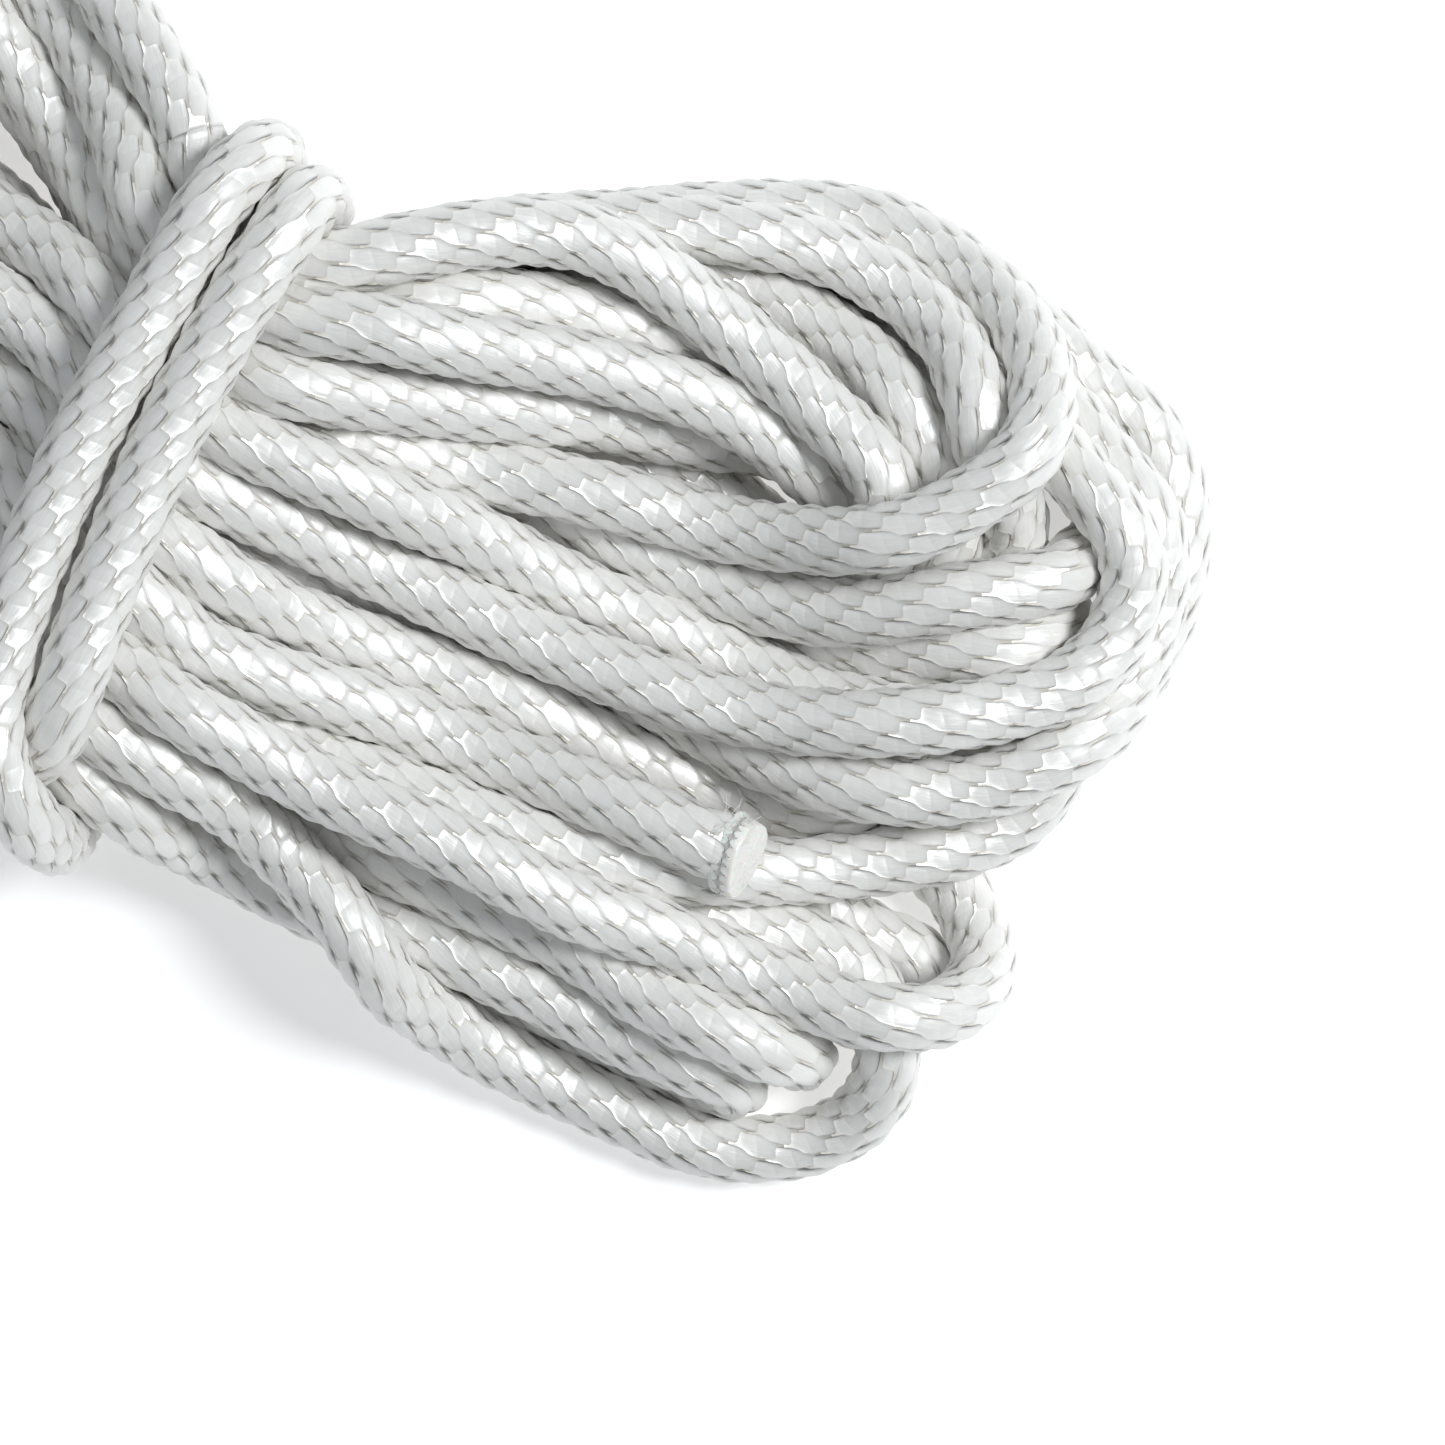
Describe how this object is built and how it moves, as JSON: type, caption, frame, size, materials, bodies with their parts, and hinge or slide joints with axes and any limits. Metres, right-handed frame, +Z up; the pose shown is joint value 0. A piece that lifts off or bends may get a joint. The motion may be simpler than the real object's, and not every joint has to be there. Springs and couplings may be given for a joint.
{
  "type": "coiled dock line",
  "caption": "White solid-braid nylon dock line folded into a hank and bound round its middle by frapping turns, with a heat-sealed end lying across the right-hand lobe.",
  "frame": {"origin": "Centre of the hank's box, on the surface that it lies on", "axes": "+X runs along the hank from the left-hand lobe through the frapping turns to the right-hand lobe, +Y is across it towards the fanned side of the lobes, +Z is up"},
  "size_m": [0.2441, 0.1394, 0.048],
  "materials": {
    "rope": "bright satin nylon filament, solid braid",
    "melted_end": "translucent melted nylon, slightly glossy"
  },
  "bodies": {
    "root": {"right_lobe": "rope", "waist": "rope", "left_lobe": "rope", "inner_frapping_turn": "rope", "outer_frapping_turn": "rope", "crossing_bight": "rope", "top_loop": "rope", "small_loop": "rope", "bottom_loop": "rope", "upper_folded_bight": "rope", "lower_folded_bight": "rope", "starting_end": "rope", "starting_tip": "melted_end", "finishing_end": "rope", "finishing_tip": "melted_end"}
  },
  "joints": []
}
